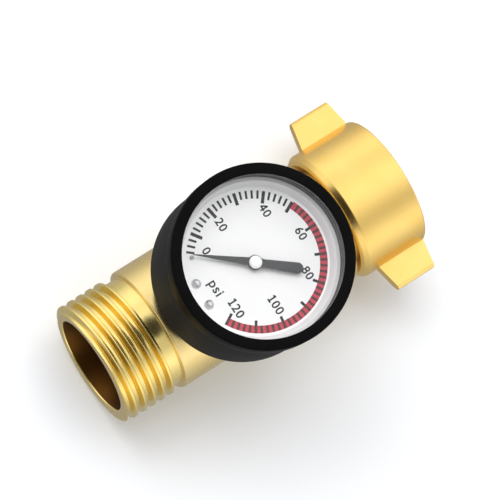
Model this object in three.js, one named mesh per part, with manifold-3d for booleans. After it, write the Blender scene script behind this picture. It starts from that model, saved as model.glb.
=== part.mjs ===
// Inline water pressure regulator with a top-mounted pressure gauge.
// Millimetres, +Z up. The water axis is X, outlet at -X and inlet at +X. Everything is laid out from the
// gauge axis, x = 0 below, and moved at the end so that the origin is the middle of the inlet washer's face.
import * as THREE from 'three';
import { mergeVertices } from 'three/addons/utils/BufferGeometryUtils.js';
import Module from 'manifold-3d';

const wasm = await Module();
wasm.setup();

// ---------- driving dimensions ----------
const SEG = 48;                 // facets round a large turned part
const SEG_SMALL = 24;           // facets round a small turned part
const ORIGIN_X = 34.0;          // where the inlet washer's outer face stands from the gauge axis

// 3/4 in garden hose thread, 11.5 threads per inch
const THREAD_PITCH = 2.209;
const MALE_MAJOR_R = 13.45;
const MALE_MINOR_R = 12.05;
const FEMALE_MAJOR_R = 13.55;
const FEMALE_MINOR_R = 12.35;

// brass body
const OUTLET_X = -32.4;
const NECK_R = 12.38;
const LIP_X = -18.55;
const BODY_R = 13.63;
const BODY_END_X = 24.6;
const OUTLET_BORE_R = 10.43;
const CHAMBER_R = 9.6;
const CHAMBER_X = -17.5;
const CYLINDER_R = 10.3;
const CYLINDER_X = 4.7;
const PORT_R = 11.0;
const PORT_X = 16.4;
const BOSS_R = 7.4;
const BOSS_TOP_Z = 14.6;
const STEM_BORE_R = 5.3;

// swivel nut
const NUT_X0 = 25.6;
const NUT_X1 = 41.1;
const NUT_R = 14.5;
const NUT_LIP_R = 11.0;
const NUT_LIP_END_X = 28.1;
const NUT_TURN = 4;             // degrees the wings stand off level
const WING_ROOT_X0 = 29.55;
const WING_ROOT_X1 = 41.0;
const WING_TIP_X0 = 30.8;
const WING_TIP_X1 = 39.85;
const WING_TIP_Y = 20.5;
const WING_T = 2.4;
const WING_BEVEL = 0.6;

// inlet tailpiece, seat and piston
const TAIL_X0 = 16.6;
const TAIL_NECK_R = 10.7;
const FLANGE_R = 12.05;
const FLANGE_X0 = 28.4;
const FLANGE_X1 = 30.8;
const TAIL_BORE_R = 8.0;
const GUIDE_R = 4.8;
const GUIDE_END_X = 20.4;
const SEAT_STEP_X = 24.4;
const STEM_R = 4.6;
const PISTON_BORE_R = 2.9;
const PISTON_R = 10.1;
const PISTON_X0 = 4.9;
const PISTON_HEAD_X1 = 9.5;
const PISTON_TIP_X = 22.0;
const PISTON_STROKE = 1.1;
const SEAT_FACE_X = 23.3;

// gauge
const CASE_Z0 = 15.12;
const CASE_R = 18.1;
const CASE_STEP_Z = 32.9;
const CASE_RIM_R = 17.2;
const CASE_RIM_Z = 34.6;
const CASE_BORE_R = 16.0;
const DIAL_LEDGE_Z = 33.0;
const CASE_FLOOR_Z = 16.9;
const BEZEL_R = 18.52;
const BEZEL_Z0 = 33.05;
const BEZEL_Z1 = 37.8;
const BEZEL_OPEN_R = 16.27;
const BEZEL_LIP_Z = 36.3;
const DIAL_Z = 31.0;
const DIAL_T = 0.4;
const DIAL_FLAT_R = 14.85;
const GAUGE_TURN = -4.0;        // degrees the gauge stands round from the water axis
const ARBOR_X = -0.62;          // where the pointer's arbor stands from the dial's centre
const ARBOR_Y = -0.15;

const PITCH_R_PINION = 1.1;
const PITCH_R_SECTOR = 11.0;
const PINION_TEETH = 10;
const SECTOR_TEETH = 100;       // teeth on the full circle the sector is part of

// ---------- materials ----------
function material(colour, roughness, metalness) {
  return new THREE.MeshStandardMaterial({ color: colour, roughness, metalness });
}
const brass = () => material(0xd9b45c, 0.32, 1.0);
const black = () => material(0x15151a, 0.45, 0.0);
const white = () => material(0xf2f2f2, 0.6, 0.0);
const rubber = () => material(0x1c1c1c, 0.85, 0.0);
const steel = () => material(0xa8abb0, 0.35, 1.0);

// ---------- solid helpers ----------
function toManifold(geometry) {
  const g = geometry.clone();
  g.deleteAttribute('normal');
  g.deleteAttribute('uv');
  const m = mergeVertices(g, 1e-5);
  const mesh = new wasm.Mesh({
    numProp: 3,
    vertProperties: new Float32Array(m.attributes.position.array),
    triVerts: new Uint32Array(m.index.array),
  });
  mesh.merge();
  return new wasm.Manifold(mesh);
}

function fromManifold(solid) {
  const mesh = solid.getMesh();
  const g = new THREE.BufferGeometry();
  g.setAttribute('position', new THREE.BufferAttribute(new Float32Array(mesh.vertProperties), 3));
  g.setIndex(new THREE.BufferAttribute(new Uint32Array(mesh.triVerts), 1));
  g.computeVertexNormals();
  return g;
}

// A closed profile of [radius, height] pairs turned about +Z.
function turnedZ(profile, segments = SEG) {
  const points = profile.map(([r, z]) => new THREE.Vector2(r, z));
  if (profile[0][0] > 0 || profile[profile.length - 1][0] > 0) points.push(points[0].clone());
  const g = new THREE.LatheGeometry(points, segments);
  g.rotateX(Math.PI / 2);
  return g;
}

// A closed profile of [x, radius] pairs turned about +X.
function turnedX(profile, segments = SEG) {
  const g = turnedZ(profile.map(([x, r]) => [r, x]), segments);
  g.rotateY(Math.PI / 2);
  return g;
}

function wound(outline, anticlockwise) {
  const points = outline.map(([x, y]) => new THREE.Vector2(x, y));
  return THREE.ShapeUtils.area(points) > 0 === anticlockwise ? points : points.reverse();
}

// A flat outline of [x, y] pairs with optional holes, raised from z0 to z1.
function plate(outline, z0, z1, holes = []) {
  const shape = new THREE.Shape(wound(outline, true));
  for (const hole of holes) shape.holes.push(new THREE.Path(wound(hole, false)));
  const g = new THREE.ExtrudeGeometry(shape, { depth: z1 - z0, bevelEnabled: false, steps: 1 });
  g.translate(0, 0, z0);
  return g;
}

function circle(cx, cy, r, n = SEG_SMALL) {
  const points = [];
  for (let i = 0; i < n; i++) {
    const a = (2 * Math.PI * i) / n;
    points.push([cx + r * Math.cos(a), cy + r * Math.sin(a)]);
  }
  return points;
}

function cylinder(cx, cy, r, z0, z1, n = SEG_SMALL) {
  return plate(circle(cx, cy, r, n), z0, z1);
}

// A trapezoid rib wound about X: base width at baseR, tip width at tipR.
function helixRib(x0, turns, baseR, tipR, baseW, tipW, segments) {
  const section = [[-baseW / 2, baseR], [-tipW / 2, tipR], [tipW / 2, tipR], [baseW / 2, baseR]];
  const steps = Math.round(turns * segments);
  const position = [];
  const index = [];
  for (let i = 0; i <= steps; i++) {
    const a = (2 * Math.PI * i) / segments;
    const x = x0 + (THREAD_PITCH * i) / segments;
    for (const [dx, r] of section) position.push(x + dx, r * Math.cos(a), r * Math.sin(a));
  }
  const ring = section.length;
  for (let i = 0; i < steps; i++) {
    for (let j = 0; j < ring; j++) {
      const a = i * ring + j;
      const b = i * ring + ((j + 1) % ring);
      index.push(a, b, a + ring, b, b + ring, a + ring);
    }
  }
  const last = steps * ring;
  index.push(0, 2, 1, 0, 3, 2);
  index.push(last, last + 1, last + 2, last, last + 2, last + 3);
  const g = new THREE.BufferGeometry();
  g.setAttribute('position', new THREE.Float32BufferAttribute(position, 3));
  g.setIndex(index);
  return g;
}

function signedVolume(g) {
  const p = g.attributes.position;
  const ix = g.index;
  const n = ix ? ix.count : p.count;
  const a = new THREE.Vector3();
  const b = new THREE.Vector3();
  const c = new THREE.Vector3();
  let v = 0;
  for (let i = 0; i < n; i += 3) {
    a.fromBufferAttribute(p, ix ? ix.getX(i) : i);
    b.fromBufferAttribute(p, ix ? ix.getX(i + 1) : i + 1);
    c.fromBufferAttribute(p, ix ? ix.getX(i + 2) : i + 2);
    v += a.dot(b.cross(c)) / 6;
  }
  return v;
}

// Makes every triangle face out.
function outward(g) {
  if (signedVolume(g) > 0) return g;
  const flipped = g.index ? g.clone() : mergeVertices(g);
  const ix = flipped.index;
  for (let i = 0; i < ix.count; i += 3) {
    const keep = ix.getX(i);
    ix.setX(i, ix.getX(i + 2));
    ix.setX(i + 2, keep);
  }
  flipped.computeVertexNormals();
  return flipped;
}

const solid = (g) => toManifold(outward(g));

const root = new THREE.Group();
root.name = 'water_pressure_regulator';

function part(name, geometry, mat) {
  geometry.translate(-ORIGIN_X, 0, 0);
  const mesh = new THREE.Mesh(outward(geometry), mat);
  mesh.name = name;
  root.add(mesh);
  return mesh;
}

// Turns a gauge part with the whole gauge about its own axis.
function gaugePart(name, geometry, mat) {
  geometry.rotateZ(THREE.MathUtils.degToRad(GAUGE_TURN));
  return part(name, geometry, mat);
}

// A part of the movement, laid out from the pointer's arbor.
function movementPart(name, geometry, mat) {
  geometry.translate(ARBOR_X, ARBOR_Y, 0);
  return gaugePart(name, geometry, mat);
}

// ---------- brass body ----------
const bodyBlank = solid(turnedX([
  [OUTLET_X, 0], [OUTLET_X, MALE_MINOR_R], [-21.0, MALE_MINOR_R], [-20.4, NECK_R], [LIP_X, NECK_R],
  [LIP_X, BODY_R - 0.35], [LIP_X + 0.35, BODY_R], [BODY_END_X - 0.6, BODY_R],
  [BODY_END_X, BODY_R - 0.6], [BODY_END_X, 0],
]));
const maleRib = solid(helixRib(OUTLET_X - 0.9, 5.9, MALE_MINOR_R - 0.15, MALE_MAJOR_R, 1.95, 0.36, SEG));
const maleLimit = solid(turnedX([
  [OUTLET_X, 0], [OUTLET_X, MALE_MAJOR_R - 0.5], [OUTLET_X + 0.5, MALE_MAJOR_R + 0.05],
  [-21.6, MALE_MAJOR_R + 0.05], [-20.1, MALE_MINOR_R], [-20.1, 0],
]));
const boss = solid(cylinder(0, 0, BOSS_R, 8, BOSS_TOP_Z, 36));
const waterway = solid(turnedX([
  [OUTLET_X - 1, 0], [OUTLET_X - 1, OUTLET_BORE_R], [CHAMBER_X, OUTLET_BORE_R], [CHAMBER_X + 0.8, CHAMBER_R],
  [CYLINDER_X, CHAMBER_R], [CYLINDER_X, CYLINDER_R], [PORT_X, CYLINDER_R], [PORT_X, PORT_R],
  [BODY_END_X + 1, PORT_R], [BODY_END_X + 1, 0],
]));
const stemBore = solid(cylinder(0, 0, STEM_BORE_R, 2, BOSS_TOP_Z + 1));
const ventHole = solid(cylinder(13, 0, 0.8, -15, -9, 12));
const bodyOutside = bodyBlank.add(maleRib.intersect(maleLimit)).add(boss);
part('body', fromManifold(bodyOutside.subtract(waterway).subtract(stemBore).subtract(ventHole)), brass());

// ---------- inlet tailpiece with the stem guide ----------
part('inlet_tailpiece', turnedX([
  [TAIL_X0, GUIDE_R], [TAIL_X0, PORT_R - 0.15], [BODY_END_X - 0.2, PORT_R - 0.15],
  [BODY_END_X + 0.3, TAIL_NECK_R], [FLANGE_X0, TAIL_NECK_R], [FLANGE_X0, FLANGE_R],
  [FLANGE_X1, FLANGE_R], [FLANGE_X1, TAIL_BORE_R], [SEAT_STEP_X, TAIL_BORE_R], [SEAT_STEP_X, TAIL_BORE_R - 1],
  [GUIDE_END_X, TAIL_BORE_R - 1], [GUIDE_END_X, GUIDE_R], [19.4, GUIDE_R], [19.4, GUIDE_R + 1.3],
  [17.7, GUIDE_R + 1.3], [17.7, GUIDE_R],
]), brass());

// O-ring round the piston stem, seated in the guide
function torusX(x, ringR, tubeR, segments = SEG_SMALL) {
  const g = new THREE.TorusGeometry(ringR, tubeR, 8, segments);
  g.rotateY(Math.PI / 2);
  g.translate(x, 0, 0);
  return mergeVertices(g);
}
part('stem_oring', torusX(18.55, 5.46, 0.62, 28), rubber());
part('port_gasket', turnedX([
  [15.95, 7.9], [15.95, 10.2], [16.5, 10.2], [16.5, 7.9],
], 32), rubber());

// ---------- seat carrier: ring, hub and three arms ----------
const carrierRing = solid(turnedX([[24.55, 6.5], [24.55, 7.8], [26.5, 7.8], [26.5, 6.5]], 36));
const carrierHub = solid(turnedX([
  [24.0, 0], [24.0, 4.7], [26.5, 4.7], [26.5, 0],
], 36));
const carrierPocket = solid(turnedX([[23.0, 0], [23.0, 4.0], [25.3, 4.0], [25.3, 0]], 36));
let carrier = carrierRing.add(carrierHub);
for (let i = 0; i < 3; i++) {
  const arm = new THREE.BoxGeometry(1.9, 3.0, 1.8);
  arm.translate(25.5, 5.6, 0);
  arm.rotateX((2 * Math.PI * i) / 3 + Math.PI / 6);
  carrier = carrier.add(solid(arm));
}
part('seat_carrier', fromManifold(carrier.subtract(carrierPocket)), brass());
part('seat_disc', turnedX([
  [SEAT_FACE_X, 0], [SEAT_FACE_X, 3.85], [25.2, 3.85], [25.2, 0],
], SEG_SMALL), rubber());

// ---------- piston ----------
part('piston', turnedX([
  [PISTON_X0, PISTON_BORE_R], [PISTON_X0, PISTON_R], [6.1, PISTON_R], [6.1, 8.35], [8.1, 8.35], [8.1, PISTON_R],
  [PISTON_HEAD_X1, PISTON_R], [PISTON_HEAD_X1, STEM_R], [PISTON_TIP_X - 1, STEM_R], [PISTON_TIP_X, 3.5],
  [PISTON_TIP_X, PISTON_BORE_R],
]), brass());
part('piston_oring', torusX(7.1, 9.35, 0.86, 40), rubber());

// Round-wire coil about X. It doesn't deform, so it stands one stroke clear of the piston's head.
class Coil extends THREE.Curve {
  constructor(x0, x1, radius, turns) {
    super();
    Object.assign(this, { x0, x1, radius, turns });
  }
  getPoint(t, target = new THREE.Vector3()) {
    const a = 2 * Math.PI * this.turns * t;
    const x = this.x0 + (this.x1 - this.x0) * t;
    return target.set(x, this.radius * Math.cos(a), this.radius * Math.sin(a));
  }
}
function wire(curve, radius, steps, sides = 6) {
  const shape = new THREE.Shape(circle(0, 0, radius, sides).map(([x, y]) => new THREE.Vector2(x, y)));
  return mergeVertices(outward(mergeVertices(new THREE.ExtrudeGeometry(
    shape, { steps, extrudePath: curve, bevelEnabled: false },
  ).deleteAttribute('normal').deleteAttribute('uv'))));
}
const SPRING_WIRE_R = 0.55;
const SPRING_SEAT_X = 15.9;
const springX0 = PISTON_HEAD_X1 + PISTON_STROKE + SPRING_WIRE_R + 0.1;
const springX1 = SPRING_SEAT_X - SPRING_WIRE_R - 0.05;
part('piston_spring', wire(new Coil(springX0, springX1, 7.1, 2.6), SPRING_WIRE_R, 56), steel());

// ---------- swivel nut with two wings and an internal hose thread ----------
function wing(side) {
  const outline = [
    [WING_ROOT_X0 - 0.2, NUT_R - 0.9], [WING_ROOT_X1 + 0.05, NUT_R - 0.9],
    [WING_TIP_X1 + 0.1, WING_TIP_Y], [WING_TIP_X0 - 0.1, WING_TIP_Y],
  ];
  const shape = new THREE.Shape(outline.map(([x, y]) => new THREE.Vector2(x, y)));
  const g = new THREE.ExtrudeGeometry(shape, {
    depth: WING_T - 2 * WING_BEVEL, bevelEnabled: true, bevelThickness: WING_BEVEL,
    bevelSize: WING_BEVEL, bevelOffset: -WING_BEVEL, bevelSegments: 1, steps: 1,
  });
  g.translate(0, 0, -(WING_T - 2 * WING_BEVEL) / 2);
  if (side < 0) g.rotateX(Math.PI);
  return mergeVertices(g.deleteAttribute('normal').deleteAttribute('uv'));
}
const nutBlank = solid(turnedX([
  [NUT_X0, 0], [NUT_X0, NUT_R - 1.5], [NUT_X0 + 0.45, NUT_R - 0.75], [NUT_X0 + 1.5, NUT_R],
  [NUT_X1 - 0.35, NUT_R], [NUT_X1, NUT_R - 0.35], [NUT_X1, 0],
]));
const nutBore = solid(turnedX([
  [NUT_X0 - 1, 0], [NUT_X0 - 1, NUT_LIP_R], [NUT_LIP_END_X, NUT_LIP_R], [NUT_LIP_END_X, FEMALE_MINOR_R],
  [NUT_X1 - 1.0, FEMALE_MINOR_R], [NUT_X1 + 0.1, FEMALE_MAJOR_R - 0.1], [NUT_X1 + 0.1, 0],
]));
const femaleCut = solid(helixRib(33.3, 4.2, FEMALE_MINOR_R - 0.2, FEMALE_MAJOR_R, 1.95, 0.4, SEG));
let nut = nutBlank.add(solid(wing(1))).add(solid(wing(-1))).subtract(nutBore).subtract(femaleCut);
nut = nut.rotate([-NUT_TURN, 0, 0]);
part('swivel_nut', fromManifold(nut), brass());

part('hose_washer', turnedX([
  [31.0, 8.3], [31.0, 12.1], [34.0, 12.1], [34.0, 8.3],
], 40), rubber());

// ---------- inlet strainer: a rimmed disc with round holes ----------
const screenHoles = [];
for (let ring = 0; ring < 3; ring++) {
  const count = ring === 0 ? 1 : ring * 6;
  for (let i = 0; i < count; i++) {
    const a = (2 * Math.PI * i) / count;
    screenHoles.push(circle(ring * 2.6 * Math.cos(a), ring * 2.6 * Math.sin(a), 0.9, 8));
  }
}
const screenDisc = plate(circle(0, 0, 8.0, 36), 31.6, 32.1, screenHoles);
screenDisc.rotateY(Math.PI / 2);
part('inlet_screen', screenDisc, steel());

// ---------- gauge: socket, case, bezel, glass, dial ----------
const socketTurned = solid(turnedZ([
  [0, 9.9], [4.6, 9.9], [5.1, 10.5], [5.1, 14.85], [6.1, 14.85], [6.1, 17.2], [0, 17.2],
], 32));
const socketBlock = new THREE.BoxGeometry(10.5, 9.0, 6.2);
socketBlock.translate(0, 0, 20.1);
const socketBore = solid(cylinder(0, 0, 1.5, 8, 21, 16));
const socketSide = new THREE.CylinderGeometry(0.9, 0.9, 9, 12);
socketSide.rotateZ(Math.PI / 2);
socketSide.translate(4.5, 0, 19.9);
gaugePart('gauge_socket', fromManifold(
  socketTurned.add(solid(socketBlock)).subtract(socketBore).subtract(solid(socketSide)),
), brass());

gaugePart('gauge_case', turnedZ([
  [6.3, CASE_Z0], [CASE_R - 0.8, CASE_Z0], [CASE_R, CASE_Z0 + 0.8], [CASE_R, CASE_STEP_Z],
  [CASE_RIM_R, CASE_STEP_Z], [CASE_RIM_R, CASE_RIM_Z], [16.5, CASE_RIM_Z], [16.5, DIAL_LEDGE_Z],
  [CASE_BORE_R, DIAL_LEDGE_Z], [CASE_BORE_R, CASE_FLOOR_Z], [6.3, CASE_FLOOR_Z],
]), black());

gaugePart('bezel', turnedZ([
  [17.35, BEZEL_Z0], [BEZEL_R, BEZEL_Z0], [BEZEL_R, BEZEL_Z1 - 0.45], [BEZEL_R - 0.45, BEZEL_Z1],
  [BEZEL_OPEN_R + 0.25, BEZEL_Z1], [BEZEL_OPEN_R, BEZEL_Z1 - 0.25], [BEZEL_OPEN_R, BEZEL_LIP_Z],
  [17.35, BEZEL_LIP_Z],
], 64), black());

gaugePart('lens', turnedZ([
  [0, 35.25], [17.2, 35.25], [17.2, 36.25], [0, 36.25],
]), material(0xe8f0f4, 0.05, 0.0));
gaugePart('lens_gasket', turnedZ([[16.4, 34.65], [17.15, 34.65], [17.15, 35.2], [16.4, 35.2]]), rubber());

const dialTurned = solid(turnedZ([
  [0, DIAL_Z - DIAL_T], [DIAL_FLAT_R + 0.15, DIAL_Z - DIAL_T], [15.75, 33.1], [16.4, 33.1], [16.4, 33.5],
  [15.5, 33.5], [DIAL_FLAT_R, DIAL_Z], [0, DIAL_Z],
]));
const RIVET_R = 12.95;
const RIVET_ANGLES = [172.8, -165.9];
const STOP_PIN_ANGLE = 149.7;
const polar = (r, degrees) => [
  r * Math.cos(THREE.MathUtils.degToRad(degrees)), r * Math.sin(THREE.MathUtils.degToRad(degrees)),
];
let dial = dialTurned.subtract(solid(cylinder(ARBOR_X, ARBOR_Y, 0.9, 30, 32, 16)));
for (const angle of RIVET_ANGLES) {
  const [x, y] = polar(RIVET_R, angle);
  dial = dial.subtract(solid(cylinder(x, y, 0.6, 30, 32, 12)));
}
const [pinX, pinY] = polar(RIVET_R, STOP_PIN_ANGLE);
dial = dial.subtract(solid(cylinder(pinX, pinY, 0.42, 30, 32, 12)));
gaugePart('dial', fromManifold(dial), white());

function rivet(x, y) {
  const g = turnedZ([
    [0, 29.4], [0.5, 29.4], [0.5, DIAL_Z + 0.03], [0.95, DIAL_Z + 0.03], [0.8, DIAL_Z + 0.4],
    [0.4, DIAL_Z + 0.62], [0, DIAL_Z + 0.68],
  ], 16);
  g.translate(x, y, 0);
  return g;
}
gaugePart('dial_rivet_a', rivet(...polar(RIVET_R, RIVET_ANGLES[0])), steel());
gaugePart('dial_rivet_b', rivet(...polar(RIVET_R, RIVET_ANGLES[1])), steel());
gaugePart('stop_pin', cylinder(pinX, pinY, 0.32, 30.2, DIAL_Z + 0.6, 12), steel());

// ---------- pointer: blade towards zero, broad rounded tail ----------
const ZERO_ANGLE = 145.5;       // from the gauge's own up direction, which is +X before the gauge turn
const POINTER_TIP = 12.5;
const POINTER_TAIL = 9.7;
const TAIL_HALF_W = 1.08;
function pointerOutline() {
  const points = [[POINTER_TIP, 0.1], [POINTER_TIP, -0.1], [0.9, -0.74]];
  for (let i = 0; i <= 8; i++) {
    const a = -Math.PI / 2 - (Math.PI * i) / 8;
    points.push([-POINTER_TAIL + TAIL_HALF_W * (1 + Math.cos(a)), TAIL_HALF_W * Math.sin(a)]);
  }
  points.push([0.9, 0.74]);
  return points;
}
const pointer = plate(pointerOutline(), 32.0, 32.35, [circle(0, 0, 0.55, 16)]);
pointer.rotateZ(THREE.MathUtils.degToRad(ZERO_ANGLE));
movementPart('pointer', pointer, material(0x3c3c3c, 0.5, 0.0));
movementPart('pointer_cap', turnedZ([
  [0, 32.4], [1.25, 32.4], [1.25, 32.75], [1.0, 33.0], [0, 33.05],
]), white());

// ---------- gauge movement ----------
// The arbor carries a small pinion; the sector gear turns it through a tenth of the pointer's angle.
const SECTOR_PIVOT_X = -(PITCH_R_PINION + PITCH_R_SECTOR);
const ARBOR_R = 0.5;
const TOOTH_ADDENDUM = 0.16;
const TOOTH_DEDENDUM = 0.24;
const TOOTH_TIP_HALF = 0.09;    // half a tooth's width as a share of its step, at the tip
const TOOTH_ROOT_HALF = 0.2;
function toothRing(pitchR, teeth, from, to, phase) {
  const step = (2 * Math.PI) / teeth;
  const rootR = pitchR - TOOTH_DEDENDUM;
  const tipR = pitchR + TOOTH_ADDENDUM;
  const points = [];
  for (let i = from; i < to; i++) {
    const a = phase + i * step;
    const corners = [
      [rootR, a - TOOTH_ROOT_HALF * step], [tipR, a - TOOTH_TIP_HALF * step],
      [tipR, a + TOOTH_TIP_HALF * step], [rootR, a + TOOTH_ROOT_HALF * step],
    ];
    for (const [r, angle] of corners) points.push([r * Math.cos(angle), r * Math.sin(angle)]);
  }
  return points;
}
const pinionStep = (2 * Math.PI) / PINION_TEETH;
const pinion = solid(plate(
  toothRing(PITCH_R_PINION, PINION_TEETH, 0, PINION_TEETH, pinionStep / 2), 25.7, 26.9,
));
const arbor = solid(turnedZ([
  [0, 24.6], [0.35, 24.6], [ARBOR_R, 24.8], [ARBOR_R, 32.2], [0, 32.2],
], 16));
movementPart('pointer_arbor', fromManifold(arbor.add(pinion)), brass());

// Sector teeth span the pointer's whole sweep; at rest the pinion is at the end the sector turns away from.
const SWEEP_TEETH = 9;
const sectorTeeth = toothRing(PITCH_R_SECTOR, SECTOR_TEETH, -SWEEP_TEETH, 2, 0);
const bladeTurn = (-(SWEEP_TEETH - 1) * Math.PI) / SECTOR_TEETH;
const along = (r, side) => [
  r * Math.cos(bladeTurn) - side * Math.sin(bladeTurn), r * Math.sin(bladeTurn) + side * Math.cos(bladeTurn),
];
const sectorOutline = [
  ...sectorTeeth, along(8.6, 2.2), along(2.0, 1.1), along(-2.9, 0.6), along(-2.9, -0.6), along(2.0, -1.1),
  along(8.6, -2.2),
];
const sectorPlate = plate(sectorOutline, 25.9, 26.7);
const sectorShaft = turnedZ([
  [0, 24.6], [0.35, 24.6], [0.6, 24.8], [0.6, 27.9], [0.35, 28.1], [0, 28.1],
], 16);
const sectorPin = cylinder(...along(-2.4, 0), 0.3, 25.2, 26.0, 10);
const sector = solid(sectorPlate).add(solid(sectorShaft)).add(solid(sectorPin));
const sectorGeometry = fromManifold(sector);
sectorGeometry.translate(SECTOR_PIVOT_X, 0, 0);
movementPart('sector_gear', sectorGeometry, brass());

const plateOutline = [[-14.2, -2.4], [4.6, -4.2], [4.6, 4.2], [-14.2, 2.4]];
const PILLARS = [[3.4, 3.0], [3.4, -3.0]];
const bearingHoles = [circle(0, 0, 0.65, 16), circle(SECTOR_PIVOT_X, 0, 0.75, 16)];
movementPart('movement_plate_low', plate(plateOutline, 23.4, 24.2), brass());
movementPart('movement_plate_high', plate(plateOutline, 28.3, 29.0, bearingHoles), brass());
PILLARS.forEach(([x, y], i) => {
  movementPart(`movement_pillar_${i}`, cylinder(x, y, 0.8, 24.25, 28.25, 12), brass());
});

function spiralBand(r0, r1, turns, width, z0, z1) {
  const steps = Math.round(turns * 20);
  const outer = [];
  const inner = [];
  for (let i = 0; i <= steps; i++) {
    const a = (2 * Math.PI * turns * i) / steps;
    const r = r0 + ((r1 - r0) * i) / steps;
    outer.push([(r + width / 2) * Math.cos(a), (r + width / 2) * Math.sin(a)]);
    inner.push([(r - width / 2) * Math.cos(a), (r - width / 2) * Math.sin(a)]);
  }
  return plate([...outer, ...inner.reverse()], z0, z1);
}
movementPart('hairspring', spiralBand(0.95, 2.4, 3, 0.14, 27.3, 27.8), steel());

// Flattened tube bent round the case, open end let into the socket block, shut end at the link.
function arcBand(r0, r1, from, to, z0, z1, steps = 36) {
  const outer = [];
  const inner = [];
  for (let i = 0; i <= steps; i++) {
    const a = THREE.MathUtils.degToRad(from + ((to - from) * i) / steps);
    outer.push([r1 * Math.cos(a), r1 * Math.sin(a)]);
    inner.push([r0 * Math.cos(a), r0 * Math.sin(a)]);
  }
  return plate([...outer, ...inner.reverse()], z0, z1);
}
const tubeArc = solid(arcBand(11.4, 13.0, -12, 236, 17.8, 22.4));
const tubeFoot = new THREE.BoxGeometry(6.6, 1.5, 4.6);
tubeFoot.translate(8.8, -2.5, 20.1);
gaugePart('bourdon_tube', fromManifold(tubeArc.add(solid(tubeFoot))), brass());
const tipCap = plate([[-8.0, -11.4], [-6.0, -11.4], [-6.0, -9.4], [-8.0, -9.4]], 22.45, 24.4);
gaugePart('tube_tip_cap', tipCap, brass());
const [pinSideX, pinSideY] = along(-2.4, 0);
const linkX = ARBOR_X + SECTOR_PIVOT_X + pinSideX;
const linkY = ARBOR_Y + pinSideY;
const link = plate([
  [linkX - 0.4, linkY + 0.3], [-7.7, -11.1], [-6.4, -10.5], [linkX + 0.3, linkY + 0.4],
], 24.45, 24.95);
gaugePart('tip_link', link, steel());

export default root;
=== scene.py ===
import math

import bmesh
import bpy
from mathutils import Matrix, Vector


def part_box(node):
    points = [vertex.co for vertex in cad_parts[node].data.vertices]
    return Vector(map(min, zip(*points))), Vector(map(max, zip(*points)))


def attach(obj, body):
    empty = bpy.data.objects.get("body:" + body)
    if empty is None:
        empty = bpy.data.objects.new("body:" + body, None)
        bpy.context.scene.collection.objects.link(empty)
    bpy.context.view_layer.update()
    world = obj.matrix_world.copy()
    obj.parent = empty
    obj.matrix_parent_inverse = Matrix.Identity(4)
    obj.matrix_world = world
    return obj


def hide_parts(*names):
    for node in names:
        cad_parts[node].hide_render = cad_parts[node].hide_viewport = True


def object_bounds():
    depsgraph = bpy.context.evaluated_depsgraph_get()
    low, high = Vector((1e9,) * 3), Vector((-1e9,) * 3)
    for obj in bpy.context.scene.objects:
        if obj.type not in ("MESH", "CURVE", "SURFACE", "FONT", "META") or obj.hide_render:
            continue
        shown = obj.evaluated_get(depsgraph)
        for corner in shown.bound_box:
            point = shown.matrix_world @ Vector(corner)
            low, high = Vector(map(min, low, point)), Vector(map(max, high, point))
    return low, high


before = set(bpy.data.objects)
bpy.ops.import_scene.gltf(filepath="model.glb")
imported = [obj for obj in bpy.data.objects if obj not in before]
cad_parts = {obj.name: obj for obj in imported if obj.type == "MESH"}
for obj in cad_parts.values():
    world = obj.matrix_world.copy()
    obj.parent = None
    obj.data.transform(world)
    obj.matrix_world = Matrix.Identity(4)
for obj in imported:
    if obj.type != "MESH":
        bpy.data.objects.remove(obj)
cad_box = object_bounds()

MM = 0.001


# ---------------------------------------------------------------- places
def middle(node):
    low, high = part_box(node)
    return (low + high) / 2


GAUGE_X = middle("gauge_case").x / MM        # the gauge axis; places along the water axis count from it, mm
GAUGE_TURN = math.radians(-4.0)              # the gauge stands a little round from the water axis
NUT_TURN = math.radians(-4.0)                # and so does the nut
SIDES = 192                                  # facets round a large turned piece
SHARP = 32.0                                 # edges over this many degrees stay hard
BRASS_SHARP = 40.0                           # and on the threaded pieces


# ---------------------------------------------------------------- mesh helpers (millimetres in, metres out)
def shade_smooth(mesh, sharp):
    mesh.polygons.foreach_set("use_smooth", [True] * len(mesh.polygons))
    mesh.set_sharp_from_angle(angle=math.radians(sharp))


def new_object(name, bm, sharp=SHARP):
    """An object from a mesh in millimetres, with doubled points merged."""
    bmesh.ops.remove_doubles(bm, verts=bm.verts, dist=0.0012)
    bmesh.ops.dissolve_degenerate(bm, edges=bm.edges, dist=0.0002)
    bmesh.ops.recalc_face_normals(bm, faces=bm.faces)
    bmesh.ops.scale(bm, vec=(MM, MM, MM), verts=bm.verts)
    mesh = bpy.data.meshes.new(name)
    bm.to_mesh(mesh)
    bm.free()
    shade_smooth(mesh, sharp)
    obj = bpy.data.objects.new(name, mesh)
    bpy.context.scene.collection.objects.link(obj)
    return obj


def fillet(profile, steps=4):
    """Corners given as (a, b, radius) in a closed loop become arcs; (a, b) stays sharp."""
    out = []
    count = len(profile)
    for i, corner in enumerate(profile):
        here = Vector(corner[:2])
        radius = corner[2] if len(corner) > 2 else 0.0
        if radius <= 0:
            out.append(tuple(here))
            continue
        back = (Vector(profile[i - 1][:2]) - here).normalized()
        on = (Vector(profile[(i + 1) % count][:2]) - here).normalized()
        half = back.angle(on) / 2
        reach = radius / math.tan(half)
        centre = here + (back + on).normalized() * (radius / math.sin(half))
        start = here + back * reach - centre
        turn = start.angle_signed(here + on * reach - centre)
        for k in range(steps + 1):
            out.append(tuple(centre + Matrix.Rotation(-turn * k / steps, 2) @ start))
    return out


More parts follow.
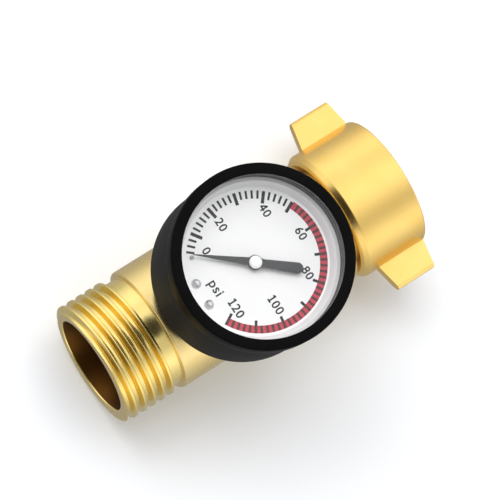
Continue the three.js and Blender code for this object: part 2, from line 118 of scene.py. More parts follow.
def skin(bm, rows, closed):
    """Quads between successive rows of points, and from the last row back to the first when closed."""
    grid = [[bm.verts.new(p) for p in row] for row in rows]
    pairs = list(zip(grid, grid[1:])) + ([(grid[-1], grid[0])] if closed else [])
    for a, b in pairs:
        for j in range(len(a) - 1):
            bm.faces.new((a[j], a[j + 1], b[j + 1], b[j]))


def ring(axis, along, radius, sides):
    """One row of points round an axis; along and radius are numbers or one value for each side."""
    points = []
    for j in range(sides + 1):
        t = 2 * math.pi * j / sides
        a = along[j] if isinstance(along, list) else along
        r = radius[j] if isinstance(radius, list) else radius
        c, s = r * math.cos(t), r * math.sin(t)
        points.append((GAUGE_X + a, c, s) if axis == "X" else (GAUGE_X + c, s, a))
    return points


def turned(name, axis, profile, sides=SIDES):
    """A solid turned about the water axis or the gauge axis from a closed (along, radius) loop."""
    bm = bmesh.new()
    skin(bm, [ring(axis, a, r, sides) for a, r in profile], closed=True)
    return new_object(name, bm)


THREAD_PITCH = 2.209
# Half a thread's section from its crest's middle to its root's: distance along, share of the full height.
HALF_THREAD = [(0.0, 1.0), (0.20, 1.0), (0.235, 0.985), (0.265, 0.94), (0.50, 0.48), (0.72, 0.05),
               (0.755, 0.01), (0.80, 0.0), (0.99, 0.0)]
NECK_RISE = 0.3                              # share of a turn over which the last valley rises to the neck


def thread_height(distance):
    """Share of the full height at a distance along from a crest's middle, for any turn."""
    distance = abs((distance + THREAD_PITCH / 2) % THREAD_PITCH - THREAD_PITCH / 2)
    for (d0, h0), (d1, h1) in zip(HALF_THREAD, HALF_THREAD[1:]):
        if distance <= d1:
            return h0 + (h1 - h0) * (distance - d0) / (d1 - d0)
    return 0.0


def past_thread(x, angle, x0, root, last, neck):
    """Radius between ridges: root, and the plain neck's past the last ridge (angle in turns)."""
    last_crest = x0 + (last + 0.5 + angle) * THREAD_PITCH
    if x > last_crest:
        return neck
    if x > last_crest - THREAD_PITCH:
        return root + (neck - root) * max(0.0, (angle - (1 - NECK_RISE)) / NECK_RISE)
    return root


def run_out(distance, length):
    """Share of the full height at a distance from an end where the rib dies out over a length."""
    return distance / length if length else 1.0


def thread_rows(x0, x1, root, crest, fade_in=0.0, fade_out=0.0, last=None, neck=None):
    """Rows of a wound rib from x0 to x1, radius root to crest. It dies out over fade_in and fade_out (mm)
    or, where last is given, on the under side of that turn, past which the radius is the neck's."""
    section = [(-d, h) for d, h in reversed(HALF_THREAD)] + HALF_THREAD[1:]
    turns = math.ceil((x1 - x0) / THREAD_PITCH) + 1
    rows = []
    for turn in range(-1, turns):
        for distance, height in section:
            start = x0 + (turn + 0.5) * THREAD_PITCH + distance
            along, radius = [], []
            for j in range(SIDES + 1):
                angle = j / SIDES
                wanted = start + THREAD_PITCH * angle
                x = min(max(wanted, x0), x1)
                share = height if x == wanted else thread_height(distance + x - wanted)
                low = root
                fade = min(1.0, run_out(x - x0, fade_in), run_out(x1 - x, fade_out))
                if last is not None:
                    low = past_thread(x, angle, x0, root, last, neck)
                    fade = min(fade, max(0.0, (last + 0.9 - turn - angle) / 0.25))
                along.append(x)
                radius.append(max(low, root + (crest - root) * min(share, fade)))
            rows.append((along, radius))
    return rows


def apply_modifiers(obj):
    depsgraph = bpy.context.evaluated_depsgraph_get()
    mesh = bpy.data.meshes.new_from_object(obj.evaluated_get(depsgraph))
    obj.modifiers.clear()
    obj.data = mesh


def combine(target, other, operation):
    """Boolean, applied at once, and the tool object removed."""
    modifier = target.modifiers.new("combine", "BOOLEAN")
    modifier.operation = operation
    modifier.solver = "EXACT"
    modifier.object = other
    apply_modifiers(target)
    shade_smooth(target.data, SHARP)
    bpy.data.objects.remove(other)


def even_shading(obj):
    """Lets large faces keep their own normals where small bevels meet them."""
    modifier = obj.modifiers.new("even", "WEIGHTED_NORMAL")
    modifier.keep_sharp = True
    apply_modifiers(obj)


def turn_about(obj, angle, axis, centre_mm):
    centre = Matrix.Translation(Vector(centre_mm) * MM)
    obj.data.transform(centre @ Matrix.Rotation(angle, 4, axis) @ centre.inverted())


def with_gauge(obj):
    turn_about(obj, GAUGE_TURN, "Z", (GAUGE_X, 0, 0))
    return obj


def to_arbor(obj):
    """Moves a piece made round the gauge axis to the pointer's own axis."""
    arbor = middle("pointer_cap")
    obj.data.transform(Matrix.Translation((arbor.x - GAUGE_X * MM, arbor.y, 0)))
    return obj


def prism(bm, outline, z0, z1, middle_x=GAUGE_X):
    """A flat outline of (x, y) raised from z0 to z1, laid out from the gauge axis unless told otherwise."""
    low = [bm.verts.new((middle_x + x, y, z0)) for x, y in outline]
    high = [bm.verts.new((middle_x + x, y, z1)) for x, y in outline]
    bm.faces.new(low[::-1])
    bm.faces.new(high)
    for i in range(len(outline)):
        j = (i + 1) % len(outline)
        bm.faces.new((low[i], low[j], high[j], high[i]))


# ---------------------------------------------------------------- materials
class Nodes:
    """A principled material with short calls for the procedural nodes that feed it."""

    def __init__(self, name, **fixed):
        self.material = bpy.data.materials.new(name)
        self.material.use_nodes = True
        self.tree = self.material.node_tree
        self.shader = self.tree.nodes["Principled BSDF"]
        for socket, value in fixed.items():
            self.shader.inputs[socket.replace("_", " ")].default_value = value
        self.where = self.add("ShaderNodeTexCoord").outputs["Object"]

    def add(self, kind, **inputs):
        node = self.tree.nodes.new(kind)
        for socket, value in inputs.items():
            self.feed(node.inputs[socket.replace("_", " ")], value)
        return node

    def feed(self, socket, value):
        if isinstance(value, bpy.types.NodeSocket):
            self.tree.links.new(value, socket)
        else:
            socket.default_value = value

    def noise(self, scale, detail=4.0, roughness=0.6):
        node = self.add("ShaderNodeTexNoise", Vector=self.where, Scale=scale, Detail=detail)
        node.inputs["Roughness"].default_value = roughness
        return node.outputs["Fac"]

    def spread(self, value, low, high):
        """Noise, which is nearly all between 0.3 and 0.7, spread from low to high."""
        node = self.add("ShaderNodeMapRange", Value=value, From_Min=0.3, From_Max=0.7, To_Min=low, To_Max=high)
        return node.outputs["Result"]

    def blend(self, factor, a, b):
        node = self.tree.nodes.new("ShaderNodeMix")
        node.data_type = "RGBA"
        self.feed(node.inputs[0], factor)
        node.inputs[6].default_value = (*a, 1.0)
        node.inputs[7].default_value = (*b, 1.0)
        return node.outputs[2]

    def bump(self, height, strength, distance):
        return self.add("ShaderNodeBump", Height=height, Strength=strength, Distance=distance).outputs["Normal"]

    def set(self, socket, value):
        self.feed(self.shader.inputs[socket], value)


def blasted_brass(name, pale, deep, rough, grain=5200.0):
    n = Nodes(name, Metallic=1.0)
    cloud = n.noise(160.0, 3.0)
    n.set("Base Color", n.blend(n.spread(cloud, 0.0, 1.0), deep, pale))
    speck = n.noise(grain, 2.0, 0.7)
    n.set("Roughness", n.spread(speck, rough - 0.035, rough + 0.045))
    n.set("Normal", n.bump(speck, 0.09, 0.000012))
    return n.material


def moulded(name, colour, rough, grain=2600.0, strength=0.12, specular=0.5, lift=0.35):
    n = Nodes(name, Specular_IOR_Level=specular)
    cloud = n.noise(220.0, 3.0)
    lighter = tuple(min(1.0, c * (1 + lift)) for c in colour)
    n.set("Base Color", n.blend(n.spread(cloud, 0.0, 1.0), colour, lighter))
    grain_noise = n.noise(grain, 2.0, 0.65)
    n.set("Roughness", n.spread(grain_noise, rough - 0.04, rough + 0.05))
    n.set("Normal", n.bump(grain_noise, strength, 0.00002))
    return n.material


def bright_metal(name, colour, rough):
    n = Nodes(name, Metallic=1.0)
    darker = tuple(c * 0.86 for c in colour)
    n.set("Base Color", n.blend(n.spread(n.noise(300.0), 0.0, 1.0), colour, darker))
    fine = n.noise(6000.0, 2.0)
    n.set("Roughness", n.spread(fine, rough - 0.05, rough + 0.06))
    n.set("Normal", n.bump(fine, 0.08, 0.00001))
    return n.material


def printed(name, colour, rough=0.5):
    n = Nodes(name, Specular_IOR_Level=0.25)
    darker = tuple(c * 0.9 for c in colour)
    n.set("Base Color", n.blend(n.spread(n.noise(2400.0, 2.0), 0.0, 1.0), colour, darker))
    n.set("Roughness", n.spread(n.noise(4000.0, 2.0), rough - 0.04, rough + 0.04))
    return n.material


BRASS = blasted_brass("brass_satin", (0.87, 0.68, 0.305), (0.84, 0.64, 0.265), 0.26)
BRASS_NUT = blasted_brass("brass_forged", (0.95, 0.665, 0.215), (0.92, 0.62, 0.175), 0.30)
BRASS_THREAD = blasted_brass("brass_cut", (0.93, 0.742, 0.288), (0.90, 0.702, 0.243), 0.21, 7000.0)
# near-black brass: painted shade for the bore and chamber inside the body, also put on the hidden piston
BRASS_BORE_SHADE = blasted_brass("brass_bore_painted_shade", (0.155, 0.068, 0.014), (0.11, 0.045, 0.009), 0.42)
BRASS_MOVEMENT = bright_metal("brass_movement", (0.86, 0.66, 0.30), 0.3)
STEEL = bright_metal("steel_bright", (0.66, 0.67, 0.69), 0.28)
SCREEN_STEEL = bright_metal("steel_screen", (0.62, 0.63, 0.65), 0.35)
RIVET_METAL = bright_metal("rivet_metal", (0.70, 0.70, 0.71), 0.27)
CASE_BLACK = moulded("case_black", (0.0130, 0.0130, 0.0132), 0.58, specular=0.04)
BEZEL_BLACK = moulded("bezel_black", (0.0030, 0.0030, 0.0031), 0.45, specular=0.03)
BEZEL_INSIDE = moulded("bezel_inside", (0.10, 0.10, 0.102), 0.45, specular=0.2)
SEAL_GREY = moulded("seal_grey", (0.12, 0.12, 0.122), 0.6, 1800.0, 0.2, specular=0.2)
RUBBER = moulded("rubber_black", (0.010, 0.010, 0.010), 0.72, 1800.0, 0.3, specular=0.3)
WASHER_RUBBER = moulded("washer_rubber", (0.014, 0.014, 0.014), 0.75, 1500.0, 0.35, specular=0.3)
DIAL_WHITE = moulded("dial_white", (0.94, 0.94, 0.945), 0.55, 3000.0, 0.04, specular=0.2, lift=0.02)
# a greyer copy of the dial's white for its raised rim: painted shade under the bezel
DIAL_RIM_SHADED = moulded("dial_rim_painted_shade", (0.80, 0.80, 0.805), 0.5, 3000.0, 0.04, specular=0.3, lift=0.03)
CAP_WHITE = moulded("cap_white", (0.90, 0.90, 0.90), 0.4, 3000.0, 0.03, specular=0.3, lift=0.02)
POINTER_GREY = moulded("pointer_grey", (0.062, 0.062, 0.064), 0.5, 3000.0, 0.05, specular=0.3, lift=0.12)
PIN_GREY = moulded("pin_grey", (0.42, 0.42, 0.425), 0.45, 3000.0, 0.04, specular=0.3, lift=0.1)
INK = printed("ink_dark", (0.030, 0.029, 0.031))
INK_RED = printed("ink_red", (0.60, 0.065, 0.095))
INK_MAROON = printed("ink_maroon", (0.115, 0.044, 0.048))


def clear_sheet(name):
    n = Nodes(name, Alpha=0.05, IOR=1.49, Specular_IOR_Level=0.5)
    n.set("Base Color", n.blend(n.noise(90.0), (0.30, 0.32, 0.33), (0.36, 0.37, 0.38)))
    n.set("Roughness", n.spread(n.noise(500.0), 0.02, 0.05))
    n.material.surface_render_method = "BLENDED"
    return n.material


CLEAR = clear_sheet("clear_acrylic")


def dress(obj, material, slot, body, *nodes):
    obj.data.materials.clear()
    obj.data.materials.append(material)
    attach(obj, body)
    if nodes:
        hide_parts(*nodes)
    return obj


def dress_faces(obj, material, chosen):
    """A further material, for the faces that chosen(radius from the gauge axis, height) picks, both in mm."""
    obj.data.materials.append(material)
    for face in obj.data.polygons:
        if chosen(math.hypot(face.center.x / MM - GAUGE_X, face.center.y / MM), face.center.z / MM):
            face.material_index = 1


# ---------------------------------------------------------------- brass body
OUTLET_X, NECK_X, LIP_X, BODY_END_X = -32.4, -20.3, -18.55, 24.6
MINOR_R, MAJOR_R, NECK_R, BODY_R = 12.05, 13.45, 12.38, 13.63
BORE_R, CHAMBER_X, CHAMBER_R, CYLINDER_X, CYLINDER_R = 10.43, -17.5, 9.6, 4.7, 10.3
PORT_X, PORT_R = 16.4, 11.0
LAST_RIDGE = 4                               # the turn on which the outlet's thread ends
BOSS_R, BOSS_TOP = 7.4, 14.6
STEM_HOLE_R = 5.3
VENT_X, VENT_R = 13.0, 0.8


def body_rows():
    rows = [ring("X", OUTLET_X, BORE_R + 0.28, SIDES), ring("X", OUTLET_X, 11.6, SIDES)]
    for along, radius in thread_rows(OUTLET_X, NECK_X, MINOR_R, MAJOR_R, last=LAST_RIDGE, neck=NECK_R):
        chamfer = [MAJOR_R - 0.55 + (x - OUTLET_X) for x in along]
        rows.append(ring("X", along, [min(r, c) for r, c in zip(radius, chamfer)], SIDES))
    outside = fillet([
        (NECK_X, NECK_R), (LIP_X, NECK_R, 0.18), (LIP_X, BODY_R, 0.42),
        (BODY_END_X, BODY_R, 0.7), (BODY_END_X, PORT_R), (PORT_X, PORT_R), (PORT_X, CYLINDER_R),
        (CYLINDER_X, CYLINDER_R), (CYLINDER_X, CHAMBER_R), (CHAMBER_X + 0.8, CHAMBER_R),
        (CHAMBER_X, BORE_R), (OUTLET_X + 0.28, BORE_R), (OUTLET_X + 0.08, BORE_R + 0.1),
    ], 5)
    rows += [ring("X", a, r, SIDES) for a, r in outside]
    return rows


bm = bmesh.new()
skin(bm, body_rows(), closed=True)
body = new_object("body_brass", bm, BRASS_SHARP)
boss = turned("boss_tool", "Z", fillet([
    (8.0, 0.0), (8.0, BOSS_R), (BOSS_TOP, BOSS_R, 0.35), (BOSS_TOP, 0.0),
], 3), 96)
combine(body, boss, "UNION")
stem_hole = turned("stem_hole_tool", "Z", [
    (5.0, 0.0), (5.0, STEM_HOLE_R), (16.0, STEM_HOLE_R), (16.0, 0.0),
], 64)
combine(body, stem_hole, "DIFFERENCE")
vent = turned("vent_tool", "Z", [(-16.0, 0.0), (-16.0, VENT_R), (-9.0, VENT_R), (-9.0, 0.0)], 24)
vent.data.transform(Matrix.Translation((VENT_X * MM, 0, 0)))
combine(body, vent, "DIFFERENCE")
dress(body, BRASS, "brass", "regulator", "body")
body.data.materials.append(BRASS_THREAD)
body.data.materials.append(BRASS_BORE_SHADE)
# bore and chamber faces take the near-black brass, painted shade inside the body; the outlet's thread takes the
# cut brass
for face in body.data.polygons:
    x = face.center.x / MM - GAUGE_X
    r = math.hypot(face.center.y, face.center.z) / MM
    if r < CYLINDER_R + 0.9 and OUTLET_X + 0.3 < x < BODY_END_X:
        face.material_index = 2
    elif OUTLET_X + 0.02 < x < LIP_X - 0.1:
        face.material_index = 1


# ---------------------------------------------------------------- swivel nut
NUT_X0, NUT_X1, NUT_R = 25.6, 41.1, 14.5
NUT_LIP_R, NUT_LIP_X, NUT_THREAD_X = 11.0, 28.1, 33.2
FEMALE_MINOR_R, FEMALE_MAJOR_R = 12.35, 13.55
WING_ROOT = (29.55, 41.0)
WING_TIP = (30.8, 39.85)
WING_TIP_Y, WING_T = 20.5, 2.4


def nut_rows():
    outside = fillet([
        (NUT_X0, NUT_LIP_R, 0.25), (NUT_X0, NUT_R - 1.5, 0.3), (NUT_X0 + 0.45, NUT_R - 0.75, 0.3),
        (NUT_X0 + 1.5, NUT_R, 0.6), (NUT_X1, NUT_R, 0.4),
        (NUT_X1, FEMALE_MAJOR_R - 0.15, 0.1), (NUT_X1 - 1.0, FEMALE_MINOR_R),
    ], 6)
    rows = [ring("X", a, r, SIDES) for a, r in outside]
    thread = thread_rows(NUT_THREAD_X, NUT_X1 - 1.0, FEMALE_MINOR_R, FEMALE_MAJOR_R, fade_in=1.0, fade_out=0.9)
    for along, radius in reversed(thread):
        rows.append(ring("X", along, radius, SIDES))
    rows += [ring("X", a, r, SIDES) for a, r in ((NUT_LIP_X, FEMALE_MINOR_R), (NUT_LIP_X, NUT_LIP_R))]
    return rows


def wing_tool(side):
    """A trapezoid wing with bevelled rim, its root buried in the nut's wall."""
    root_y = NUT_R - 0.75
    outline = [(WING_ROOT[0] - 0.15, root_y), (WING_ROOT[1] + 0.03, root_y),
               (WING_TIP[1], WING_TIP_Y), (WING_TIP[0], WING_TIP_Y)]
    bm = bmesh.new()
    prism(bm, outline, -WING_T / 2, WING_T / 2)
    tip = [e for e in bm.edges if min(v.co.y for v in e.verts) > root_y + 1
           and abs(e.verts[0].co.z - e.verts[1].co.z) < 1]
    bmesh.ops.bevel(bm, geom=tip, offset=0.62, segments=1, profile=0.5, affect="EDGES")
    rim = [e for e in bm.edges if max(v.co.y for v in e.verts) > root_y + 1]
    bmesh.ops.bevel(bm, geom=rim, offset=0.10, segments=2, profile=0.5, affect="EDGES")
    if side < 0:
        bmesh.ops.rotate(bm, verts=bm.verts, matrix=Matrix.Rotation(math.pi, 3, "X"))
    return new_object("wing_tool", bm)


bm = bmesh.new()
skin(bm, nut_rows(), closed=True)
nut = new_object("nut_brass", bm, BRASS_SHARP)
for side in (1, -1):
    combine(nut, wing_tool(side), "UNION")
even_shading(nut)
turn_about(nut, NUT_TURN, "X", (0, 0, 0))
dress(nut, BRASS_NUT, "brass", "nut", "swivel_nut")


# ---------------------------------------------------------------- inlet side
tailpiece = turned("tailpiece_brass", "X", fillet([
    (16.6, 4.8), (16.6, 10.85, 0.3), (24.4, 10.85, 0.15), (24.9, 10.7), (28.4, 10.7, 0.15), (28.4, 12.05, 0.2),
    (30.8, 12.05, 0.25), (30.8, 8.0, 0.25), (24.4, 8.0), (24.4, 7.0), (20.4, 7.0, 0.3), (20.4, 4.8, 0.2),
    (19.4, 4.8), (19.4, 6.1), (17.7, 6.1), (17.7, 4.8),
], 3), 128)
dress(tailpiece, BRASS, "brass", "regulator", "inlet_tailpiece")
washer = turned("washer_ring", "X", fillet([
    (31.0, 8.3, 0.35), (31.0, 12.1, 0.45), (34.0, 12.1, 0.45), (34.0, 8.3, 0.35),
], 4), 128)
dress(washer, WASHER_RUBBER, "washer_rubber", "regulator", "hose_washer")


def woven_screen():
    """Crossing wires inside a rolled rim, each wire bowing over and under the ones it crosses."""
    rim_x, rim_r, wire_r, step = 31.85, 7.6, 0.14, 0.9
    bm = bmesh.new()
    rim = [(rim_x + 0.38 * math.cos(t), rim_r + 0.38 * math.sin(t)) for t in
           (2 * math.pi * k / 10 for k in range(10))]
    skin(bm, [ring("X", a, r, 72) for a, r in rim], closed=True)
    lines = int(rim_r / step)
    for across in (0, 1):
        for i in range(-lines, lines + 1):
            offset = i * step
            reach = math.sqrt(max(rim_r ** 2 - offset ** 2, 0.0))
            if reach < 0.5:
                continue
            count = max(8, int(reach * 2 / 0.22))
            rows = []
            for k in range(count + 1):
                s = -reach + 2 * reach * k / count
                wave = math.cos(math.pi * s / step + math.pi * (i + across)) * wire_r * 0.9
                row = []
                for m in range(7):
                    t = 2 * math.pi * m / 6
                    side, up = wire_r * math.cos(t), wire_r * math.sin(t)
                    y, z = (s, offset + side) if across else (offset + side, s)
                    row.append((GAUGE_X + rim_x + wave + up, y, z))
                rows.append(row)
            skin(bm, rows, closed=False)
            for row in (rows[0], rows[-1]):
                bm.faces.new([bm.verts.new(p) for p in row[:-1]])
    return new_object("screen_mesh", bm, 60.0)


dress(woven_screen(), SCREEN_STEEL, "screen_steel", "regulator", "inlet_screen")


# ---------------------------------------------------------------- gauge shell
CASE_R, CASE_BOTTOM, CASE_STEP_Z, CASE_TOP = 18.1, 15.12, 32.9, 34.6
CASE_RIM_R, CASE_BORE_R, CASE_HOLE_R, CASE_FLOOR_Z = 17.2, 16.0, 6.3, 16.9
LEDGE_R, LEDGE_Z = 16.5, 33.0                # the dial's rim rests here
BEZEL_R, BEZEL_BOTTOM, BEZEL_TOP = 18.52, 33.05, 37.8
BEZEL_OPEN_R, BEZEL_LIP_Z, BEZEL_INNER_R = 16.27, 36.3, 17.35

case = with_gauge(turned("case_shell", "Z", fillet([
    (CASE_BOTTOM, CASE_HOLE_R), (CASE_BOTTOM, CASE_R, 0.9), (CASE_STEP_Z, CASE_R, 0.12),
    (CASE_STEP_Z, CASE_RIM_R), (CASE_TOP, CASE_RIM_R), (CASE_TOP, LEDGE_R), (LEDGE_Z, LEDGE_R),
    (LEDGE_Z, CASE_BORE_R),
    (CASE_FLOOR_Z, CASE_BORE_R), (CASE_FLOOR_Z, CASE_HOLE_R),
], 5)))
dress(case, CASE_BLACK, "case_black", "regulator", "gauge_case")
dress_faces(case, BEZEL_INSIDE, lambda r, z: r < LEDGE_R + 0.05 and z > LEDGE_Z - 0.05)

bezel = with_gauge(turned("bezel_ring", "Z", fillet([
    (BEZEL_BOTTOM, BEZEL_INNER_R), (BEZEL_BOTTOM, BEZEL_R, 0.2), (BEZEL_TOP, BEZEL_R, 0.42),
    (BEZEL_TOP, BEZEL_OPEN_R, 0.22), (BEZEL_LIP_Z, BEZEL_OPEN_R, 0.1), (BEZEL_LIP_Z, BEZEL_INNER_R),
], 6)))
dress(bezel, BEZEL_BLACK, "bezel_black", "regulator", "bezel")
dress_faces(bezel, BEZEL_INSIDE, lambda r, z: r < BEZEL_OPEN_R + 0.06 and z < BEZEL_TOP - 0.2)

LENS_R, LENS_BOTTOM, LENS_TOP = 17.2, 35.25, 36.25
lens = with_gauge(turned("lens_sheet", "Z", fillet([
    (LENS_BOTTOM, 0.0), (LENS_BOTTOM, LENS_R, 0.15), (LENS_TOP, LENS_R, 0.15), (LENS_TOP, 0.0),
], 3)))
dress(lens, CLEAR, "clear_lens", "regulator", "lens")

SEAL_IN, SEAL_OUT, SEAL_BOTTOM, SEAL_TOP, SEAL_EDGE = 16.4, 17.15, 34.65, 35.2, 0.12
gasket = with_gauge(turned("gasket_ring", "Z", fillet([
    (SEAL_BOTTOM, SEAL_IN, SEAL_EDGE), (SEAL_BOTTOM, SEAL_OUT, SEAL_EDGE),
    (SEAL_TOP, SEAL_OUT, SEAL_EDGE), (SEAL_TOP, SEAL_IN, SEAL_EDGE),
], 3)))
dress(gasket, SEAL_GREY, "seal_rubber", "regulator", "lens_gasket")

socket = with_gauge(turned("socket_stem", "Z", fillet([
    (9.9, 1.5), (9.9, 4.6), (10.5, 5.1), (14.85, 5.1), (14.85, 6.1, 0.15), (17.2, 6.1, 0.15), (17.2, 5.0),
    (23.2, 5.0, 0.3), (23.2, 1.5),
], 3), 72))
dress(socket, BRASS, "brass", "regulator", "gauge_socket")


# ---------------------------------------------------------------- dial
DIAL_Z, DIAL_FLAT_R = 31.0, 14.85
INK_GAP, INK_Z = 0.002, 0.03                 # the print's foot and top above the plate

dial_profile = fillet([
    (30.6, 0.0), (30.6, 15.0, 0.2), (33.1, 15.75, 0.2), (33.1, 16.4), (33.5, 16.4), (33.5, 15.55, 0.2),
    (DIAL_Z, DIAL_FLAT_R, 0.12), (DIAL_Z, 0.0),
], 4)
dial = with_gauge(turned("dial_plate", "Z", dial_profile))
arbor_hole = turned("arbor_hole_tool", "Z", [(30.0, 0.0), (30.0, 0.9), (32.0, 0.9), (32.0, 0.0)], 48)
combine(dial, to_arbor(arbor_hole), "DIFFERENCE")
dress(dial, DIAL_WHITE, "dial_white", "regulator", "dial")
# the rim's faces take the greyer copy of the dial's white, painted shade
dress_faces(dial, DIAL_RIM_SHADED, lambda r, z: z > DIAL_Z + 0.05)

ZERO, TEN, STEP = -145.5, -129.9, 2.504      # degrees clockwise from the dial's top; per psi above ten


def scale_angle(psi):
    """Direction of a reading on the dial, clockwise from its top, in radians."""
    degrees = ZERO + (TEN - ZERO) * psi / 10 if psi < 10 else TEN + STEP * (psi - 10)
    return math.radians(degrees)


def dial_point(radius, clockwise, side=0.0):
    """Top of the dial is +X and its right is -Y; side is measured clockwise."""
    c, s = math.cos(-clockwise), math.sin(-clockwise)
    return (radius * c + side * s, radius * s - side * c)


def tick(bm, psi, inner, outer, width, z=INK_Z, shift=(0.0, 0.0)):
    a = scale_angle(psi)
    corners = [dial_point(inner, a, -width / 2), dial_point(outer, a, -width / 2),
               dial_point(outer, a, width / 2), dial_point(inner, a, width / 2)]
    prism(bm, [(x + shift[0], y + shift[1]) for x, y in corners], DIAL_Z + INK_GAP, DIAL_Z + z)


MINOR_IN, MAJOR_IN, HIGH_IN, BAND_OUT = 12.45, 11.6, 11.65, 14.08
MINOR_W, MAJOR_W, HIGH_W = 0.44, 0.66, 0.55
RED_IN, RED_OUT, RED_SHIFT = 12.65, 14.2, (0.18, -0.18)     # the red is printed a little off centre
RED_MINOR_W, RED_MAJOR_W = 0.52, 0.6

bm = bmesh.new()
for psi in [0, 10 / 3, 20 / 3] + list(range(10, 52, 2)):
    major = psi and psi % 10 == 0
    tick(bm, psi, MAJOR_IN if major else MINOR_IN, BAND_OUT, MAJOR_W if major else MINOR_W)
for psi in range(60, 130, 10):
    tick(bm, psi, HIGH_IN, RED_IN, HIGH_W, shift=RED_SHIFT)
dress(with_gauge(new_object("dial_ticks", bm)), INK, "dial_white", "regulator")

bm = bmesh.new()
first, last = scale_angle(50), scale_angle(120) + math.radians(0.8)
arc = [first + (last - first) * k / 160 for k in range(161)]
rim = [dial_point(RED_OUT, a) for a in arc] + [dial_point(RED_IN, a) for a in reversed(arc)]
prism(bm, [(x + RED_SHIFT[0], y + RED_SHIFT[1]) for x, y in rim], DIAL_Z + INK_GAP, DIAL_Z + INK_Z * 0.7)
dress(with_gauge(new_object("dial_red_band", bm)), INK_RED, "dial_white", "regulator")

bm = bmesh.new()
for psi in range(52, 122, 2):
    tick(bm, psi, RED_IN, RED_OUT, RED_MINOR_W if psi % 10 else RED_MAJOR_W, INK_Z * 1.1, RED_SHIFT)
dress(with_gauge(new_object("dial_band_ticks", bm)), INK_MAROON, "dial_white", "regulator")

# label, then its middle measured towards the dial's top and towards its left
LABELS = [("0", -7.98, 6.35), ("20", -2.82, 9.54), ("40", 6.45, 7.98), ("60", 10.66, 0.69), ("80", 8.03, -6.78),
          ("100", -0.77, -9.30), ("120", -8.17, -6.26), ("psi", -9.78, -0.92)]
LETTER_SIZE, OTHER_SIZES = 2.48, {"psi": 2.85, "100": 2.55, "120": 2.55}
LABEL_TURN = 4.0                             # degrees the lettering stands round on the dial
LETTER_SPACING = 1.10
LETTER_BOLD = 0.04                           # mm added all round the font's strokes
LAYER = 0.0004                               # each bar is this much taller, so that no two tops coincide
# the step from digit to digit, a digit's height and middle, and a bar's width, in letter sizes
ADVANCE, DIGIT_HEIGHT, DIGIT_MIDDLE, STROKE = 0.548, 0.682, 0.041, 0.13
# a first digit drawn as bars: ends as (across, up, across, up), in digit heights from the digit's middle
BARS = {"1": [(0.03, -0.5, 0.03, 0.5), (-0.2, 0.31, 0.03, 0.47), (-0.2, -0.46, 0.27, -0.46)],
        "4": [(0.14, -0.5, 0.14, 0.5), (-0.33, -0.17, 0.33, -0.17), (-0.28, -0.13, 0.11, 0.45)]}


def bar_digit(bm, digit, x, size):
    centre = Vector((x, DIGIT_MIDDLE * size))
    for i, (x0, y0, x1, y1) in enumerate(BARS[digit]):
        start, end = Vector((x0, y0)) * DIGIT_HEIGHT * size, Vector((x1, y1)) * DIGIT_HEIGHT * size
        along = (end - start).normalized()
        side = Vector((-along.y, along.x)) * STROKE * size / 2
        start += centre - along * LETTER_BOLD
        end += centre + along * LETTER_BOLD
        rim = [start - side, end - side, end + side, start + side]
        prism(bm, rim, -INK_Z / 2, INK_Z / 2 + LAYER * i, middle_x=0.0)


def label(text, x, y):
    size = OTHER_SIZES.get(text, LETTER_SIZE)
    barred = text[0] in BARS
    curve = bpy.data.curves.new("label_" + text, "FONT")
    curve.body = text[1:] if barred else text
    curve.size = size
    curve.offset = LETTER_BOLD
    curve.align_x = "CENTER"
    curve.align_y = "CENTER"
    curve.extrude = INK_Z / 2
    curve.space_character = LETTER_SPACING
    curve.resolution_u = 6
    words = bpy.data.objects.new("label_words", curve)
    bpy.context.scene.collection.objects.link(words)
    depsgraph = bpy.context.evaluated_depsgraph_get()
    mesh = bpy.data.meshes.new_from_object(words.evaluated_get(depsgraph))
    bpy.data.objects.remove(words)
    if barred:
        mesh.transform(Matrix.Translation((ADVANCE * size / 2, 0.0, 0.0)))
        bm = bmesh.new()
        bm.from_mesh(mesh)
        bar_digit(bm, text[0], -ADVANCE * size * (len(text) - 1) / 2, size)
        bm.to_mesh(mesh)
        bm.free()
    turn = Matrix.Rotation(math.radians(LABEL_TURN) - math.pi / 2, 4, "Z")
    place = Matrix.Translation((GAUGE_X + x, y, DIAL_Z + INK_Z / 2 + INK_GAP)) @ turn
    mesh.transform(Matrix.Scale(MM, 4) @ place)
    obj = bpy.data.objects.new("dial_label_" + text, mesh)
    bpy.context.scene.collection.objects.link(obj)
    return obj


for text, x, y in LABELS:
    dress(with_gauge(label(text, x, y)), INK, "dial_white", "regulator")

RIVET_R, RIVET_TURNS, PIN_TURN = 12.95, (172.8, -165.9), 149.7


def small_turned(name, profile, degrees, sides=32):
    x, y = (RIVET_R * math.cos(math.radians(degrees)), RIVET_R * math.sin(math.radians(degrees)))
    obj = turned(name, "Z", profile, sides)
    obj.data.transform(Matrix.Translation((x * MM, y * MM, 0)))
    return with_gauge(obj)


dome = fillet([(29.4, 0.0), (29.4, 0.5), (31.03, 0.5), (31.03, 0.95, 0.03), (31.16, 0.95, 0.06),
               (31.56, 0.5, 0.14), (31.6, 0.0)], 4)
for key, degrees in zip("ab", RIVET_TURNS):
    rivet = small_turned("rivet_dome_" + key, dome, degrees)
    dress(rivet, RIVET_METAL, "pale_metal", "regulator", "dial_rivet_" + key)
pin_profile = fillet([(30.2, 0.0), (30.2, 0.4), (31.6, 0.4, 0.14), (31.6, 0.0)], 3)
pin = small_turned("stop_pin_peg", pin_profile, PIN_TURN)
dress(pin, PIN_GREY, "pale_metal", "regulator", "stop_pin")


